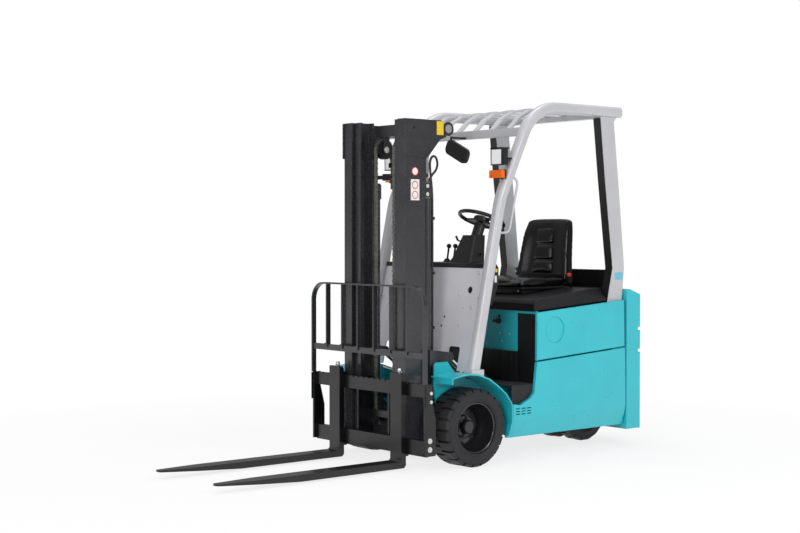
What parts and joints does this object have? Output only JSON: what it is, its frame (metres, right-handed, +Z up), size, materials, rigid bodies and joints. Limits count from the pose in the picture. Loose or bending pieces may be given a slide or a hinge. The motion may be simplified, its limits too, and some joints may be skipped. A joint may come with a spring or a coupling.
{
  "type": "three-wheel electric counterbalance forklift truck",
  "caption": "Sit-on electric forklift truck with a two-stage mast, hook-on forks, a load backrest, an overhead guard, solid drive tyres and a steered twin wheel at the back.",
  "frame": {"origin": "on the floor, at the middle of the truck's width and of its length over the forks", "axes": "+Z up, -Y towards the fork tips, +X to the operator's left"},
  "size_m": [1.086, 3.205, 2.1439],
  "materials": {
    "teal_paint": "gloss enamel",
    "silver_paint": "satin enamel",
    "charcoal_paint": "semi-gloss enamel",
    "black_steel": "matt enamel",
    "black_plastic": "grained moulding",
    "seat_vinyl": "smooth vinyl",
    "tyre_rubber": "moulded rubber",
    "rim_paint": "satin enamel",
    "bright_steel": "ground",
    "chrome": "plated",
    "chain_steel": "oiled",
    "battery_case": "matt enamel",
    "lamp_white": "clear cover over a white reflector",
    "amber": "tinted lens",
    "cast_teal": "painted casting"
  },
  "bodies": {
    "chassis": {"front_frame": "teal_paint", "front_axle": "black_steel", "fenders": "teal_paint", "lower_body": "teal_paint", "side_cover_left": "teal_paint", "side_cover_right": "teal_paint", "bay_walls": "teal_paint", "kick_panel": "black_plastic", "battery": "battery_case", "floor": "black_plastic", "steer_mount": "black_steel", "counterweight": "cast_teal", "rear_deck": "black_plastic", "rear_panel": "black_steel", "grab_handle": "silver_paint", "lamp_brackets": "black_steel", "guard_frame": "silver_paint", "rear_posts": "silver_paint", "roof_bars": "silver_paint", "cowl_panel": "silver_paint", "dash_console": "black_plastic", "steering_column": "black_plastic", "levers": "black_plastic", "pedals": "black_plastic", "work_lamps": "lamp_white", "indicators": "amber", "mirror": "black_plastic"},
    "hood_and_seat": {"hood": "black_plastic", "seat_base": "black_steel", "seat_cushion": "seat_vinyl", "seat_back": "seat_vinyl"},
    "outer_mast": {"outer_mast": "charcoal_paint", "mast_top_frame": "charcoal_paint", "lift_barrels": "charcoal_paint", "chain_anchors": "bright_steel"},
    "inner_mast": {"inner_mast": "charcoal_paint", "lift_rods": "chrome", "sheaves": "chain_steel", "chain_front_runs": "chain_steel", "chain_rear_runs": "chain_steel"},
    "carriage": {"carriage": "charcoal_paint", "load_backrest": "charcoal_paint"},
    "fork_left": {"fork_left": "charcoal_paint"},
    "fork_right": {"fork_right": "charcoal_paint"},
    "front_wheel_left": {"front_tyre_left": "tyre_rubber", "front_rim_left": "rim_paint"},
    "front_wheel_right": {"front_tyre_right": "tyre_rubber", "front_rim_right": "rim_paint"},
    "steer_carrier": {"steer_carrier": "black_steel"},
    "rear_wheels": {"rear_rims": "rim_paint", "rear_tyres": "tyre_rubber"},
    "steering_wheel": {"steering_wheel": "black_plastic"},
    "tilt_barrel_left": {"tilt_barrel_left": "charcoal_paint"},
    "tilt_rod_left": {"tilt_rod_left": "chrome"},
    "tilt_barrel_right": {"tilt_barrel_right": "charcoal_paint"},
    "tilt_rod_right": {"tilt_rod_right": "chrome"}
  },
  "joints": [
    {"name": "mast_tilt", "type": "hinge", "parent": "chassis", "child": "outer_mast", "pos_m": [0, 0.0225, 0.2285], "axis": [-1, 0, 0], "range_deg": [-5, 6]},
    {"name": "inner_mast_lift", "type": "slide", "parent": "outer_mast", "child": "inner_mast", "axis": [0, 0, 1], "range_m": [0, 1.48]},
    {"name": "carriage_lift", "type": "slide", "parent": "inner_mast", "child": "carriage", "axis": [0, 0, 1], "range_m": [0, 1.48], "deforming": ["chain_front_runs"]},
    {"name": "fork_left_slide", "type": "slide", "parent": "carriage", "child": "fork_left", "axis": [1, 0, 0], "range_m": [-0.19, 0.16]},
    {"name": "fork_right_slide", "type": "slide", "parent": "carriage", "child": "fork_right", "axis": [-1, 0, 0], "range_m": [-0.19, 0.16]},
    {"name": "front_wheel_left_spin", "type": "hinge", "parent": "chassis", "child": "front_wheel_left", "pos_m": [0.446, 0.0225, 0.2285], "axis": [1, 0, 0], "continuous": true},
    {"name": "front_wheel_right_spin", "type": "hinge", "parent": "chassis", "child": "front_wheel_right", "pos_m": [-0.446, 0.0225, 0.2285], "axis": [1, 0, 0], "continuous": true},
    {"name": "rear_steer", "type": "hinge", "parent": "chassis", "child": "steer_carrier", "pos_m": [0, 1.3275, 0.45], "axis": [0, 0, 1], "range_deg": [-85, 85]},
    {"name": "rear_wheels_spin", "type": "hinge", "parent": "steer_carrier", "child": "rear_wheels", "pos_m": [0, 1.3275, 0.19], "axis": [1, 0, 0], "continuous": true},
    {"name": "steering_wheel_turn", "type": "hinge", "parent": "chassis", "child": "steering_wheel", "pos_m": [0, 0.5535, 1.439], "axis": [0, 0.3746, 0.9272], "range_deg": [-860, 860]},
    {"name": "hood_hinge", "type": "hinge", "parent": "chassis", "child": "hood_and_seat", "pos_m": [0, 1.2125, 0.984], "axis": [-1, 0, 0], "range_deg": [0, 35]},
    {"name": "tilt_barrel_left_pivot", "type": "hinge", "parent": "chassis", "child": "tilt_barrel_left", "pos_m": [0.3, 0.3675, 0.352], "axis": [-1, 0, 0], "range_deg": [-3.02, 3.59]},
    {"name": "tilt_rod_left_slide", "type": "slide", "parent": "tilt_barrel_left", "child": "tilt_rod_left", "axis": [0, -0.7955, 0.6059], "range_m": [-0.0342, 0.0288]},
    {"name": "tilt_barrel_right_pivot", "type": "hinge", "parent": "chassis", "child": "tilt_barrel_right", "pos_m": [-0.3, 0.3675, 0.352], "axis": [-1, 0, 0], "range_deg": [-3.02, 3.59]},
    {"name": "tilt_rod_right_slide", "type": "slide", "parent": "tilt_barrel_right", "child": "tilt_rod_right", "axis": [0, -0.7955, 0.6059], "range_m": [-0.0342, 0.0288]}
  ],
  "couplings": [
    {"joint": "carriage_lift", "follows": "inner_mast_lift", "ratio": 1},
    {"joint": "steering_wheel_turn", "follows": "rear_steer", "ratio": 10},
    {"joint": "tilt_barrel_left_pivot", "follows": "mast_tilt", "ratio": 0.5649},
    {"joint": "tilt_rod_left_slide", "follows": "mast_tilt", "m_per_rad": -0.30729},
    {"joint": "tilt_barrel_right_pivot", "follows": "mast_tilt", "ratio": 0.5649},
    {"joint": "tilt_rod_right_slide", "follows": "mast_tilt", "m_per_rad": -0.30729}
  ]
}
